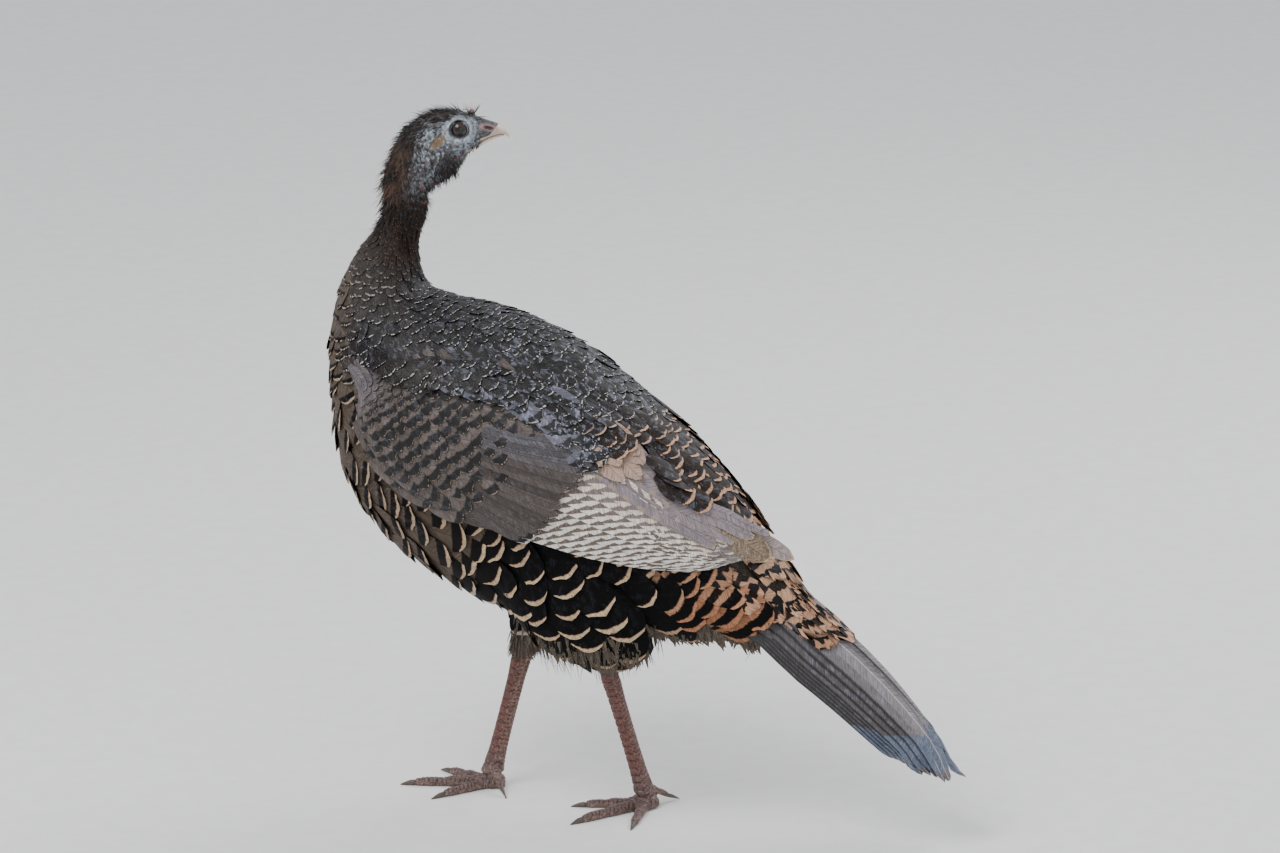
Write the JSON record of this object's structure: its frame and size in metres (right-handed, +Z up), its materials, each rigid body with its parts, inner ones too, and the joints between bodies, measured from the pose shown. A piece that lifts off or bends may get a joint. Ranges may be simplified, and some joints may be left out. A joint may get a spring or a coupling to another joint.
{
  "type": "wild turkey hen",
  "caption": "Life-size standing hen turkey in mid-stride, looking back over its right shoulder, wings and tail folded.",
  "frame": {"origin": "middle of the bird's bounding box at floor level, under both soles", "axes": "+Z up, -Y the way the body faces, +X the bird's left side"},
  "size_m": [0.2158, 0.637, 0.672],
  "materials": {
    "plumage_dark": "soft dark brown-black feathers",
    "plumage_neck": "short bristly feathers over skin",
    "wing_feathers": "barred flight feathers and coverts",
    "tail_feathers": "mottled grey-brown tail feathers",
    "thigh_down": "dark feathers and grey-brown down",
    "bare_skin": "bluish grey wrinkled skin with bristles",
    "ear_patch": "tan bristly ear patch",
    "snood_skin": "pinkish wrinkled skin",
    "leg_scales": "reddish brown scales",
    "bill_horn": "ivory horn, satin",
    "claw_horn": "dark horn, satin",
    "eye_gloss": "wet gloss"
  },
  "bodies": {
    "root": {"bill_lower": "bill_horn", "bill_upper": "bill_horn", "claw_left_hallux": "claw_horn", "claw_left_inner": "claw_horn", "claw_left_middle": "claw_horn", "claw_left_outer": "claw_horn", "claw_right_hallux": "claw_horn", "claw_right_inner": "claw_horn", "claw_right_middle": "claw_horn", "claw_right_outer": "claw_horn", "ear_left": "ear_patch", "ear_right": "ear_patch", "eye_left": "eye_gloss", "eye_right": "eye_gloss", "foot_left": "leg_scales", "foot_right": "leg_scales", "head": "bare_skin", "neck_lower": "plumage_neck", "neck_upper": "bare_skin", "shank_left": "leg_scales", "shank_right": "leg_scales", "snood": "snood_skin", "tail": "tail_feathers", "thigh_left": "thigh_down", "thigh_right": "thigh_down", "toe_left_hallux": "leg_scales", "toe_left_inner": "leg_scales", "toe_left_middle": "leg_scales", "toe_left_outer": "leg_scales", "toe_right_hallux": "leg_scales", "toe_right_inner": "leg_scales", "toe_right_middle": "leg_scales", "toe_right_outer": "leg_scales", "trunk": "plumage_dark", "wing_left": "wing_feathers", "wing_right": "wing_feathers"}
  },
  "joints": []
}
